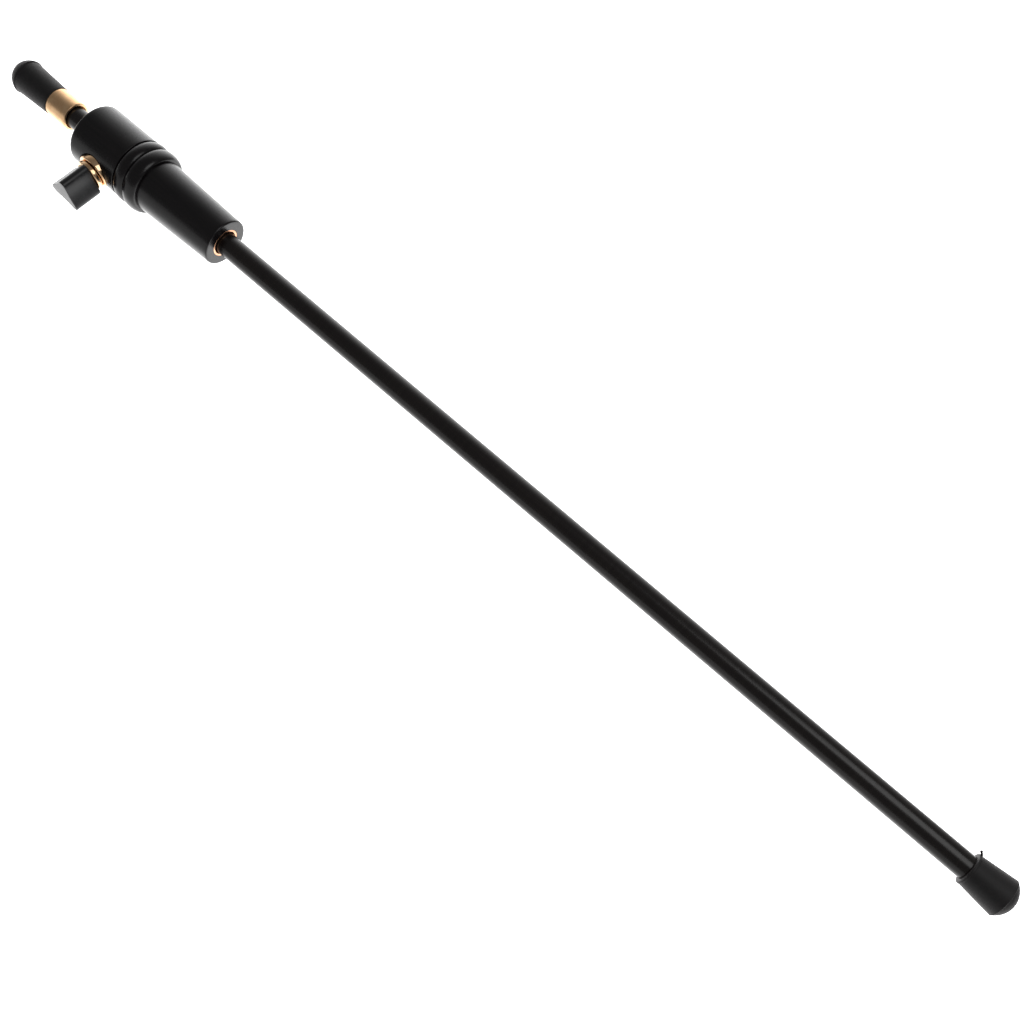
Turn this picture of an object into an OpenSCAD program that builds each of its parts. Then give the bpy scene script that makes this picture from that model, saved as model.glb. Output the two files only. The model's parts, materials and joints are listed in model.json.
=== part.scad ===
// Cello endpin: a turned plug for the instrument's end block, a rod that slides
// through it, a side thumbscrew that clamps the rod, and a rubber cap at each end.
// +X runs along the rod towards the end inside the instrument, +Z is up, and the
// origin is on the rod's axis at the shoulder that seats against the instrument.

/* [Rod] */
// Diameter of the rod
rod_d = 10; // [8:0.01:11]
// Wall of the rod's tube
rod_wall = 1.5; // [1:0.1:2]
// Length of the rod's tube
rod_len = 501.8; // [300:0.1:620]
// Gap between the ferrule and the plug as the rod is set
rod_gap = 12.6; // [2:0.1:150]
// Radial play of the rod in its liner
rod_play = 0.1; // [0.05:0.01:0.2]

/* [Plug] */
// Diameter of the collar outside the instrument
collar_d = 28.8; // [26:0.1:36]
// Length of the plain part of the collar
collar_len = 27.4; // [22:0.01:36]
// Chamfer on the collar's outer edge
collar_edge = 1.6; // [0.5:0.1:2.5]
// Diameter over the two beads
bead_d = 29.6; // [27:0.1:37]
// Width of the bead next to the collar
first_bead_w = 5.8; // [3:0.1:8]
// Width of the bead next to the shoulder
last_bead_w = 7; // [3:0.1:8]
// Diameter at the shoulder, where the last bead ends
shoulder_d = 25.8; // [25.2:0.1:28]
// Distance of the last bead's crest from the shoulder
last_crest = 4.3; // [1.5:0.1:5]
// Depth of the groove that a tail cord sits in
groove_depth = 1.5; // [0.5:0.1:2]
// Diameter of the taper at the shoulder
taper_d = 24.4; // [20:0.1:25]
// Diameter of the taper at its inner end
taper_end_d = 21.7; // [18:0.1:22]
// Length of the taper
taper_len = 41.2; // [20:0.1:50]
// Chamfer on the taper's inner edge
taper_edge = 0.6; // [0.2:0.1:1.2]

/* [Liner] */
// Wall of the metal liner in the plug
liner_wall = 1.4; // [1:0.1:2]
// Widening of the liner's bore at each mouth
liner_flare = 0.4; // [0.1:0.1:0.6]
// Length of each widened mouth
flare_len = 3; // [1:0.1:5]
// Depth of the liner below the collar's outer face
liner_inset = 2; // [0.5:0.1:4]

/* [Thumbscrew] */
// Distance from the collar's outer face to the screw's axis
screw_from_end = 15.1; // [13:0.1:19]
// Diameter of the screw's thread
thread_d = 6; // [5:0.5:6]
// Radial play in the thread and round the shoe's peg
thread_play = 0.05; // [0.03:0.01:0.1]
// Diameter of the threaded bush in the wood
bush_d = 9; // [8:0.1:10]
// Diameter of the bush's flange
flange_d = 15.6; // [12.8:0.1:16]
// Height of the flange over the collar's surface
flange_rise = 0.4; // [0.2:0.1:1.5]
// Gap round the flange in its seat
flange_gap = 0.5; // [0.2:0.1:0.8]
// Diameter of the screw's round collar
stem_collar_d = 14; // [12:0.1:14]
// Height of the screw's round collar
stem_collar_h = 2.1; // [2:0.1:5]
// Gap between the flange and the screw's collar when clamped
clamp_gap = 0.3; // [0.1:0.05:1]
// Radius over the knob's three rounded corners
knob_reach = 8.4; // [7:0.1:10]
// Radius of the knob's corners
knob_corner = 2.2; // [1:0.1:2.5]
// Height of the knob
knob_h = 13.4; // [10:0.1:18]
// Turn of the knob's first corner from the floor cap's side
knob_turn = 17.5; // [0:0.5:60]
// Diameter of the peg that holds the knob
peg_d = 5; // [4:0.5:6]
// Length of the peg in the knob
peg_len = 8; // [5:0.5:9]
// Diameter of the pressure shoe
shoe_d = 4.6; // [4:0.1:4.8]
// Thickness of the pressure shoe
shoe_h = 2.6; // [2:0.1:3]
// Diameter of the shoe's peg
shoe_peg_d = 2.4; // [2:0.1:3]
// Length of the shoe's peg
shoe_peg_len = 2.5; // [1.5:0.1:4]

/* [Floor end] */
// Diameter of the ferrule
ferrule_d = 13.3; // [12.8:0.1:16]
// Length of the ferrule
ferrule_len = 12; // [8:0.1:24]
// Depth of the clearance at the ferrule's inner mouth
ferrule_mouth = 2.5; // [1:0.1:4]
// Radial clearance at the ferrule's inner mouth
ferrule_clear = 0.5; // [0.2:0.1:0.8]
// Chamfer on the ferrule's edges
ferrule_edge = 0.4; // [0.2:0.1:0.6]
// Thickness of the spike's head inside the ferrule
spike_head = 1; // [0.5:0.1:2]
// Diameter of the spike's shank
spike_d = 8; // [6:0.1:8.4]
// Length of the spike's straight shank
spike_len = 10; // [6:0.1:14]
// Length of the spike's point
point_len = 7; // [4:0.1:10]
// Diameter of the blunt tip
tip_d = 0.8; // [0.4:0.1:1.5]
// Diameter of the spike's thread
tail_d = 5; // [4:0.5:5]
// Length of the spike's thread
tail_len = 10; // [6:0.5:14]
// Length of the socket in the rod
socket_len = 14; // [10:0.5:20]

/* [Caps] */
// Radial play of each cap on what it grips
cap_play = 0.05; // [0.03:0.01:0.1]
// Length of the floor cap
floor_cap_len = 25.75; // [22:0.05:32]
// Diameter of the floor cap's mouth
floor_mouth_d = 13.6; // [12.5:0.1:16]
// Diameter of the floor cap at its dome
floor_dome_d = 15.9; // [14:0.1:18]
// Height of the floor cap's dome
floor_dome_h = 6.3; // [3:0.1:7]
// Gap between the floor cap and the ferrule
cap_gap = 0.05; // [0.02:0.01:0.2]
// Diameter of the inner stop's mouth
stop_mouth_d = 13.1; // [12.4:0.1:16]
// Diameter of the inner stop at its dome
stop_dome_d = 16.1; // [14:0.1:18]
// Length of the inner stop
stop_len = 19.8; // [14:0.1:28]
// Height of the inner stop's dome
stop_dome_h = 4.3; // [2:0.1:5]
// Thickness of the rubber over the rod's end
stop_floor = 4.9; // [3:0.1:6]
// Width of the lip at the inner stop's mouth
lip_w = 0.9; // [0.5:0.1:2]
// Height of the lip at the inner stop's mouth
lip_h = 0.3; // [0.1:0.1:0.8]
// Length of the moulding nib on the inner stop
nib_len = 2.6; // [1:0.1:4]
// Diameter of the moulding nib
nib_d = 1.1; // [0.8:0.1:1.6]
// Angle of the moulding nib round the rod
nib_turn = 41; // [0:1:359]

/* [Hidden] */
$fn = 96;

// Reach of a cutting tool past the face it cuts
over = 1;
// Number of short straights in each rounded stretch of an outline
steps = 8;

rod_r = rod_d / 2;
tube_r = rod_r - rod_wall;
bore_r = rod_r + rod_play;
liner_r = bore_r + liner_wall;

// Places along the rod
bead_end = -(first_bead_w + last_bead_w);
first_crest = -last_bead_w - first_bead_w / 2;
plug_face = bead_end - collar_len;
ferrule_in = plug_face - rod_gap;
ferrule_out = ferrule_in - ferrule_len;
rod_out = ferrule_out + spike_head;
rod_in = rod_out + rod_len;
stop_end = rod_in + stop_floor;
stop_mouth = stop_end - stop_len;
cap_mouth = ferrule_out - cap_gap;
cap_end = cap_mouth - floor_cap_len;

// Heights along the screw, from the rod's axis
screw_x = plug_face + screw_from_end;
seat_r = flange_d / 2 + flange_gap;
seat_h = sqrt(pow(collar_d / 2, 2) - pow(seat_r, 2));
flange_top = collar_d / 2 + flange_rise;
shoe_start = rod_r + thread_play;
shank_start = shoe_start + shoe_h;
stem_start = flange_top + clamp_gap;
knob_start = stem_start + stem_collar_h;
knob_end = knob_start + knob_h;
bush_start = liner_r + over;

// The knob's lowest corner and the beads touch the same level surface, and this
// is the screw's angle below the horizontal that follows from it
lowest = max(sin(knob_turn), sin(knob_turn + 120));
low_corner = (knob_reach - knob_corner) * lowest + knob_corner;
rest_angle = asin(bead_d / 2 / norm([knob_end, low_corner])) - atan2(low_corner, knob_end);

// Points of a round bead that rises to a crest and falls again, as [radius, place]
function bead(from, crest, to, from_r, crest_r, to_r) =
    let (rise = [for (i = [0:steps / 2 - 1])
        let (a = 180 * i / steps)
        [from_r + (crest_r - from_r) * sin(a), crest + (from - crest) * cos(a)]])
    let (fall = [for (i = [steps / 2:steps])
        let (a = 180 * i / steps)
        [to_r + (crest_r - to_r) * sin(a), crest - (to - crest) * cos(a)]])
    concat(rise, fall);

// Points of a dome from its rim, at the given place, to its top, as [radius, place]
function dome(rim_r, rim, height) =
    let (r = (rim_r * rim_r + height * height) / (2 * abs(height)))
    let (open = asin(min(1, rim_r / r)))
    let (centre = rim + height - sign(height) * r)
    [for (i = [0:steps])
        let (a = open * (1 - i / steps))
        [r * sin(a), centre + sign(height) * r * cos(a)]];

// A solid of revolution about the rod's axis, from points as [radius, place]
module turned(points) {
    rotate([0, 90, 0])
        rotate_extrude()
            polygon(points);
}

// A round bar along the rod's axis
module bar(r, from, to) {
    translate([from, 0, 0])
        rotate([0, 90, 0])
            cylinder(r = r, h = to - from);
}

// A cone along the rod's axis
module cone(r_from, r_to, from, to) {
    translate([from, 0, 0])
        rotate([0, 90, 0])
            cylinder(r1 = r_from, r2 = r_to, h = to - from);
}

// Stands its children on the screw's axis: their +Z points out along the screw,
// and their +X points to the floor cap
module on_screw() {
    translate([screw_x, 0, 0])
        rotate([90 + rest_angle, 0, 0])
            rotate([0, 0, 180])
                children();
}

// A round bar along the screw's axis
module screw_bar(r, from, to) {
    on_screw()
        translate([0, 0, from])
            cylinder(r = r, h = to - from);
}

// The knob's rounded three-sided outline
module knob_outline() {
    corner_place = knob_reach - knob_corner;
    hull()
        for (i = [0:2])
            rotate([0, 0, knob_turn + 120 * i])
                translate([corner_place, 0])
                    circle(r = knob_corner, $fn = 32);
}

module plug_body() {
    bead_r = bead_d / 2;
    groove_r = bead_r - groove_depth;
    edge_r = collar_d / 2 - collar_edge;
    outline = concat(
        [[0, taper_len], [taper_end_d / 2 - taper_edge, taper_len]],
        [[taper_end_d / 2, taper_len - taper_edge], [taper_d / 2, 0]],
        bead(0, -last_crest, -last_bead_w, shoulder_d / 2, bead_r, groove_r),
        bead(-last_bead_w, first_crest, bead_end, groove_r, bead_r, groove_r),
        [[collar_d / 2, bead_end], [collar_d / 2, plug_face + collar_edge]],
        [[edge_r, plug_face], [0, plug_face]]
    );
    color([0.06, 0.055, 0.06])
        difference() {
            turned(outline);
            bar(liner_r, plug_face - over, taper_len + over);
            screw_bar(seat_r, seat_h, collar_d);
            screw_bar(bush_d / 2, 0, collar_d);
        }
}

module liner_tube() {
    start = plug_face + liner_inset;
    mouth_r = bore_r + liner_flare;
    color([0.72, 0.42, 0.30])
        difference() {
            bar(liner_r, start, taper_len);
            bar(bore_r, start - over, taper_len + over);
            bar(mouth_r, start - over, start + flare_len);
            bar(mouth_r, taper_len - flare_len, taper_len + over);
            screw_bar(thread_d / 2 + thread_play, 0, collar_d);
        }
}

module screw_bush() {
    color([0.83, 0.62, 0.28])
        difference() {
            union() {
                screw_bar(bush_d / 2, bush_start, seat_h);
                screw_bar(flange_d / 2, seat_h, flange_top);
            }
            screw_bar(thread_d / 2 + thread_play, 0, collar_d);
        }
}

module clamp_shoe() {
    color([0.78, 0.6, 0.33])
        union() {
            screw_bar(shoe_d / 2, shoe_start, shank_start);
            screw_bar(shoe_peg_d / 2, shank_start, shank_start + shoe_peg_len);
        }
}

module screw_stem() {
    hole_end = shank_start + shoe_peg_len + thread_play;
    color([0.85, 0.64, 0.3])
        difference() {
            union() {
                screw_bar(thread_d / 2, shank_start, stem_start);
                screw_bar(stem_collar_d / 2, stem_start, knob_start);
                screw_bar(peg_d / 2, knob_start, knob_start + peg_len);
            }
            screw_bar(shoe_peg_d / 2 + thread_play, shank_start - over, hole_end);
        }
}

module screw_knob() {
    color([0.1, 0.1, 0.11])
        difference() {
            on_screw()
                translate([0, 0, knob_start])
                    linear_extrude(knob_h)
                        knob_outline();
            screw_bar(peg_d / 2, knob_start - over, knob_start + peg_len);
        }
}

module rod_tube() {
    color([0.05, 0.05, 0.055])
        difference() {
            bar(rod_r, rod_out, rod_in);
            bar(tube_r, rod_out - over, rod_in + over);
        }
}

module ferrule() {
    r = ferrule_d / 2;
    outline = [
        [0, ferrule_out],
        [r - ferrule_edge, ferrule_out],
        [r, ferrule_out + ferrule_edge],
        [r, ferrule_in - ferrule_edge],
        [r - ferrule_edge, ferrule_in],
        [0, ferrule_in]
    ];
    color([0.84, 0.68, 0.42])
        difference() {
            turned(outline);
            bar(rod_r, ferrule_out - over, ferrule_in + over);
            bar(rod_r + ferrule_clear, ferrule_in - ferrule_mouth, ferrule_in + over);
        }
}

module spike_socket() {
    color([0.6, 0.6, 0.62])
        difference() {
            bar(tube_r, rod_out, rod_out + socket_len);
            bar(tail_d / 2, rod_out - over, rod_out + tail_len);
        }
}

module spike() {
    color([0.7, 0.7, 0.72])
        union() {
            bar(tail_d / 2, rod_out, rod_out + tail_len);
            bar(rod_r, ferrule_out, rod_out);
            bar(spike_d / 2, ferrule_out - spike_len, ferrule_out);
            cone(tip_d / 2, spike_d / 2, ferrule_out - spike_len - point_len, ferrule_out - spike_len);
        }
}

module floor_cap() {
    hole_r = spike_d / 2 + cap_play;
    shank_end = ferrule_out - spike_len;
    point_end = shank_end - point_len;
    outline = concat(
        [[0, cap_mouth], [floor_mouth_d / 2, cap_mouth]],
        dome(floor_dome_d / 2, cap_end + floor_dome_h, -floor_dome_h)
    );
    color([0.08, 0.07, 0.075])
        difference() {
            turned(outline);
            bar(hole_r, shank_end - cap_gap, cap_mouth + over);
            cone(tip_d / 2, hole_r, point_end - cap_gap, shank_end - cap_gap);
        }
}

module inner_stop() {
    hole_r = rod_r + cap_play;
    mouth_r = stop_mouth_d / 2;
    outline = concat(
        [[0, stop_mouth], [mouth_r + lip_h, stop_mouth], [mouth_r + lip_h, stop_mouth + lip_w]],
        [[mouth_r, stop_mouth + lip_w]],
        dome(stop_dome_d / 2, stop_end - stop_dome_h, stop_dome_h)
    );
    color([0.08, 0.07, 0.075])
        difference() {
            union() {
                turned(outline);
                rotate([-nib_turn, 0, 0])
                    translate([stop_mouth + nib_d / 2, 0, rod_r + lip_w])
                        cylinder(d = nib_d, h = mouth_r + nib_len - rod_r - lip_w);
            }
            bar(hole_r, stop_mouth - over, rod_in + cap_play);
        }
}

plug_body();
liner_tube();
screw_bush();
clamp_shoe();
screw_stem();
screw_knob();
rod_tube();
ferrule();
spike_socket();
spike();
floor_cap();
inner_stop();
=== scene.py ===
"""A cello endpin: a turned ebony plug, a sliding black rod, a brass thumbscrew and rubber caps.

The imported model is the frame. Every piece here is turned, swept or moulded in mesh code
round the rod's axis or the thumbscrew's axis, takes its place from the frame, rides on
the frame's bodies and stands for the frame's plain solids.
"""

from __future__ import annotations

import json
import logging
import math
from dataclasses import dataclass, field
from enum import Enum
from typing import Sequence

import bmesh
import bpy
from mathutils import Matrix, Vector

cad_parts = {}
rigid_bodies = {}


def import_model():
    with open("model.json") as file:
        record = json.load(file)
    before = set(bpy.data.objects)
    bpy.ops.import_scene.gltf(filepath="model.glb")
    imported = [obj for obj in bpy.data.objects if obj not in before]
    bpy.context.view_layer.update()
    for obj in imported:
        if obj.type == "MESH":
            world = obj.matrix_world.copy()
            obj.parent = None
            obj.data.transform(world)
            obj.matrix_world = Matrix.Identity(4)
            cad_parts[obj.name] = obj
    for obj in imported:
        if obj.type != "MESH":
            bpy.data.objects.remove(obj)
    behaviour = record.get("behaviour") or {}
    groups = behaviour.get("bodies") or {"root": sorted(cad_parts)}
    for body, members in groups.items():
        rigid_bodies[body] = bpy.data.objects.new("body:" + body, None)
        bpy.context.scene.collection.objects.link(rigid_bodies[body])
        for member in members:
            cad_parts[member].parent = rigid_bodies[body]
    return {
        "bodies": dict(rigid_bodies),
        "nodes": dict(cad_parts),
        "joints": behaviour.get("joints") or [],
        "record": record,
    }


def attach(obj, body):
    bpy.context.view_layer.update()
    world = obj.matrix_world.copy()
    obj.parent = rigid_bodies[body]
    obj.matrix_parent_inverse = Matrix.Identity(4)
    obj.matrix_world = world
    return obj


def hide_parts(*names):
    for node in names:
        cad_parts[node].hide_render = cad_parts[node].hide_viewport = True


LOG = logging.getLogger("endpin")

MM = 0.001
FULL_TURN = 2 * math.pi
CREASE = math.radians(32)

# Roundings that break the corners of the pieces, from barely felt to plainly seen.
FINE_EDGE = 0.1 * MM
CRISP_EDGE = 0.2 * MM
SOFT_EDGE = 0.3 * MM
ROUND_EDGE = 0.4 * MM

# Points closer than this, in metres, are one point.
SAME_POINT = 1e-7

# The longest step on the outline of a piece that shows close up.
FINE_STEP = 1.2 * MM

Outline = list[tuple[float, float]]
Colour = tuple[float, float, float]
Factors = tuple[float, float, float]


# ---------------------------------------------------------------- places


@dataclass(frozen=True)
class Span:
    """What a frame node takes up along an axis and round it, in metres."""

    start: float
    end: float
    radius: float


@dataclass(frozen=True)
class Axis:
    """A line that pieces are turned round, with a side that angles are counted from."""

    origin: Vector
    direction: Vector
    side: Vector

    def at(self, radius: float, place: float, angle: float) -> Vector:
        """Gives the point at a radius, a place along the axis and an angle round it.

        Args:
            radius: Distance from the axis, in metres.
            place: Distance along the axis from its origin, in metres.
            angle: Angle from the side direction, in radians.

        Returns:
            The point in the shared frame.
        """
        across = self.direction.cross(self.side)
        outward = self.side * math.cos(angle) + across * math.sin(angle)
        return self.origin + self.direction * place + outward * radius

    def span(self, node: bpy.types.Object) -> Span:
        """Measures a frame node against this axis.

        Args:
            node: A mesh object of the frame.

        Returns:
            The node's start, end and largest radius.
        """
        places = []
        radii = []
        for vertex in node.data.vertices:
            offset = vertex.co - self.origin
            place = offset.dot(self.direction)
            places.append(place)
            radii.append((offset - self.direction * place).length)
        return Span(min(places), max(places), max(radii))


def rod_axis() -> Axis:
    """Gives the rod's axis: +X, with angles counted from +Z."""
    return Axis(Vector((0, 0, 0)), Vector((1, 0, 0)), Vector((0, 0, 1)))


def screw_axis(joints: Sequence[dict]) -> Axis:
    """Gives the thumbscrew's axis, with angles counted from the floor cap's side.

    Args:
        joints: The frame's joints.

    Returns:
        The axis, whose origin is on the rod's axis.
    """
    turn = next(joint for joint in joints if joint["name"] == "screw_turn")
    direction = Vector(turn["axis"]).normalized()
    return Axis(Vector(turn["pos_m"]), direction, Vector((-1, 0, 0)))


# ---------------------------------------------------------------- outlines


def arc(centre: tuple[float, float], radius: float, start: float, end: float, steps: int) -> Outline:
    """Gives the points of an arc, as (radius, place) pairs.

    Args:
        centre: The arc's centre.
        radius: The arc's own radius.
        start: First angle, in radians.
        end: Last angle, in radians.
        steps: Number of straights.

    Returns:
        The arc's points, ends included.
    """
    turn = (end - start) / steps
    return [
        (
            centre[0] + radius * math.cos(start + turn * step),
            centre[1] + radius * math.sin(start + turn * step),
        )
        for step in range(steps + 1)
    ]


def rounded(corners: Sequence[tuple[float, float, float]], closed: bool = False, steps: int = 6) -> Outline:
    """Rounds the corners of an outline, with fillets limited by the straights beside them.

    Args:
        corners: (radius, place, fillet) of each corner. A corner with a fillet of 0 and
            the two ends of an open outline stay sharp.
        closed: Whether the outline is a loop.
        steps: Number of straights in each fillet.

    Returns:
        The outline's points.
    """
    points: Outline = []
    most_of_straight = 0.49
    count = len(corners)
    for index, (radius, place, fillet) in enumerate(corners):
        is_end = not closed and index in (0, count - 1)
        if fillet <= 0 or is_end:
            points.append((radius, place))
            continue
        corner = Vector((radius, place))
        before = Vector(corners[index - 1][:2]) - corner
        after = Vector(corners[(index + 1) % count][:2]) - corner
        half_angle = before.angle(after) / 2
        limit = (most_of_straight * before.length, most_of_straight * after.length)
        reach = min(fillet / math.tan(half_angle), *limit)
        size = reach * math.tan(half_angle)
        middle = (before.normalized() + after.normalized()).normalized()
        centre = corner + middle * (size / math.sin(half_angle))
        first = corner + before.normalized() * reach - centre
        last = corner + after.normalized() * reach - centre
        swing = first.angle_signed(last)
        for step in range(steps + 1):
            spoke = first.copy()
            spoke.rotate(Matrix.Rotation(-swing * step / steps, 2))
            points.append(tuple(centre + spoke))
    return points


def bead(start: Sequence[float], crest: Sequence[float], end: Sequence[float], steps: int = 20) -> Outline:
    """Gives a round bead that rises to a crest and falls again.

    Args:
        start: (radius, place) where the bead rises.
        crest: (radius, place) of its top.
        end: (radius, place) where it ends.
        steps: Number of straights, an even number.

    Returns:
        The bead's points from start to end.
    """
    points = []
    for step in range(steps + 1):
        foot = start if step < steps / 2 else end
        angle = math.pi * step / steps
        share = abs(math.cos(angle))
        radius = foot[0] + (crest[0] - foot[0]) * math.sin(angle)
        points.append((radius, crest[1] + (foot[1] - crest[1]) * share))
    return points


def dome(rim: float, base: float, height: float, steps: int = 18) -> Outline:
    """Gives a shallow dome from its rim to its top on the axis.

    Args:
        rim: Radius at the rim.
        base: Place of the rim.
        height: Distance from the rim to the top, negative towards lower places.
        steps: Number of straights.

    Returns:
        The dome's points, ending on the axis.
    """
    size = (rim * rim + height * height) / (2 * abs(height))
    open_angle = math.asin(min(1.0, rim / size))
    way = math.copysign(1, height)
    centre = base + height - way * size
    points = []
    for step in range(steps + 1):
        angle = open_angle * (1 - step / steps)
        points.append((size * math.sin(angle), centre + way * size * math.cos(angle)))
    points[-1] = (0.0, base + height)
    return points


def evenly(outline: Outline, pitch: float, closed: bool = False) -> Outline:
    """Cuts an outline's long straights so that no step is longer than a pitch.

    Args:
        outline: The points.
        pitch: The longest step wanted.
        closed: Whether the last point joins the first.

    Returns:
        The outline with the added points.
    """
    points: Outline = []
    pairs = list(zip(outline, outline[1:] + outline[:1]))
    if not closed:
        pairs = pairs[:-1]
    for (r0, p0), (r1, p1) in pairs:
        cuts = max(1, math.ceil(math.hypot(r1 - r0, p1 - p0) / pitch))
        for cut in range(cuts):
            share = cut / cuts
            points.append((r0 + (r1 - r0) * share, p0 + (p1 - p0) * share))
    if not closed:
        points.append(outline[-1])
    return points


# ---------------------------------------------------------------- meshes


def finished_mesh(name: str, shape: bmesh.types.BMesh) -> bpy.types.Mesh:
    """Turns a worked shape into a mesh with true creases and smooth faces.

    Args:
        name: The mesh's name.
        shape: The shape, which is freed.

    Returns:
        The mesh.
    """
    bmesh.ops.remove_doubles(shape, verts=shape.verts, dist=SAME_POINT)
    bmesh.ops.recalc_face_normals(shape, faces=shape.faces)
    for face in shape.faces:
        face.smooth = True
    for edge in shape.edges:
        edge.smooth = edge.calc_face_angle(0.0) < CREASE
    mesh = bpy.data.meshes.new(name)
    shape.to_mesh(mesh)
    shape.free()
    return mesh


def turned_shape(axis: Axis, outline: Outline, segments: int, closed: bool) -> bmesh.types.BMesh:
    """Turns an outline round an axis.

    Args:
        axis: The axis.
        outline: (radius, place) points; a radius of 0 makes a pole.
        segments: Number of straights round the axis.
        closed: Whether the outline is a loop, as on a hollow piece.

    Returns:
        The shape.
    """
    shape = bmesh.new()
    rings = []
    for radius, place in outline:
        if radius <= 0:
            rings.append([shape.verts.new(axis.at(0, place, 0))])
            continue
        ring = [shape.verts.new(axis.at(radius, place, FULL_TURN * k / segments)) for k in range(segments)]
        rings.append(ring)
    pairs = list(zip(rings, rings[1:] + rings[:1]))
    if not closed:
        pairs = pairs[:-1]
    for first, second in pairs:
        for k in range(segments):
            after = (k + 1) % segments
            corners = [first[k % len(first)], first[after % len(first)]]
            corners += [second[after % len(second)], second[k % len(second)]]
            unique = list(dict.fromkeys(corners))
            if len(unique) > 2:
                shape.faces.new(unique)
    return shape


def join_rings(shape: bmesh.types.BMesh, rings: Sequence[Sequence[bmesh.types.BMVert]]) -> None:
    """Joins each ring of points to the next with four-sided faces."""
    for first, second in zip(rings, rings[1:]):
        for k in range(len(first)):
            after = (k + 1) % len(first)
            shape.faces.new([first[k], first[after], second[after], second[k]])


def close_ends(shape: bmesh.types.BMesh, rings: Sequence[Sequence[bmesh.types.BMVert]]) -> None:
    """Closes the first and the last ring with a face each."""
    shape.faces.new(list(reversed(rings[0])))
    shape.faces.new(rings[-1])


def threaded_shape(
    axis: Axis, start: float, end: float, crest: float, depth: float, pitch: float, segments: int
) -> bmesh.types.BMesh:
    """Makes a right-hand screw thread that runs out to a plain end at both ends.

    Args:
        axis: The screw's axis.
        start: Place of the first end.
        end: Place of the last end.
        crest: Radius over the thread.
        depth: Depth of the thread.
        pitch: Advance in one turn.
        segments: Number of straights round the axis.

    Returns:
        The shape, closed at both ends.
    """
    shape = bmesh.new()
    rows_in_a_turn = 10
    flank_slope = 1.25
    rows = round((end - start) / pitch * rows_in_a_turn)
    rings = []
    for row in range(rows + 1):
        place = start + (end - start) * row / rows
        fade = min(1.0, (place - start) / pitch, (end - place) / pitch)
        ring = []
        for k in range(segments):
            turn = (place / pitch - k / segments) % 1.0
            flank = abs(2 * turn - 1)
            radius = crest - depth + depth * min(1.0, flank_slope * flank) * max(0.0, fade)
            ring.append(shape.verts.new(axis.at(radius, place, FULL_TURN * k / segments)))
        rings.append(ring)
    join_rings(shape, rings)
    close_ends(shape, rings)
    return shape


def swept_shape(path: Sequence[Vector], radii: Sequence[float], sides: int) -> bmesh.types.BMesh:
    """Sweeps a round section of changing radius along a path, with closed ends.

    Args:
        path: The path's points.
        radii: The section's radius at each point.
        sides: Number of sides of the section.

    Returns:
        The shape.
    """
    shape = bmesh.new()
    rings = []
    across = None
    for index, point in enumerate(path):
        ahead = path[min(index + 1, len(path) - 1)] - path[max(index - 1, 0)]
        ahead = ahead.normalized()
        if across is None:
            across = ahead.orthogonal().normalized()
        across = (across - ahead * across.dot(ahead)).normalized()
        third = ahead.cross(across)
        ring = []
        for k in range(sides):
            angle = FULL_TURN * k / sides
            spoke = across * math.cos(angle) + third * math.sin(angle)
            ring.append(shape.verts.new(point + spoke * radii[index]))
        rings.append(ring)
    join_rings(shape, rings)
    close_ends(shape, rings)
    return shape


def merged(shapes: Sequence[bmesh.types.BMesh]) -> bmesh.types.BMesh:
    """Puts several closed shapes into one, and frees the ones that came in.

    Args:
        shapes: The shapes.

    Returns:
        One shape that holds them all.
    """
    whole = bmesh.new()
    for shape in shapes:
        part = bpy.data.meshes.new("part")
        shape.to_mesh(part)
        shape.free()
        whole.from_mesh(part)
        bpy.data.meshes.remove(part)
    return whole


def new_piece(name: str, mesh: bpy.types.Mesh) -> bpy.types.Object:
    """Makes an object from a mesh and links it to the scene.

    Args:
        name: The object's name.
        mesh: Its mesh.

    Returns:
        The object.
    """
    piece = bpy.data.objects.new(name, mesh)
    bpy.context.scene.collection.objects.link(piece)
    return piece


def without(shape: bmesh.types.BMesh, tool: bmesh.types.BMesh) -> bmesh.types.BMesh:
    """Cuts one closed shape out of another, and frees both.

    Args:
        shape: The shape to cut.
        tool: What is taken away.

    Returns:
        What is left of the shape.
    """
    kept = new_piece("kept", finished_mesh("kept", shape))
    cutter = new_piece("cutter", finished_mesh("cutter", tool))
    cut = kept.modifiers.new("cut", "BOOLEAN")
    cut.operation = "DIFFERENCE"
    cut.solver = "EXACT"
    cut.object = cutter
    bpy.context.view_layer.update()
    result = bpy.data.meshes.new_from_object(kept.evaluated_get(bpy.context.evaluated_depsgraph_get()))
    left = bmesh.new()
    left.from_mesh(result)
    for spare in (result, kept.data, cutter.data):
        bpy.data.meshes.remove(spare)
    return left


# ---------------------------------------------------------------- finishes


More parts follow.
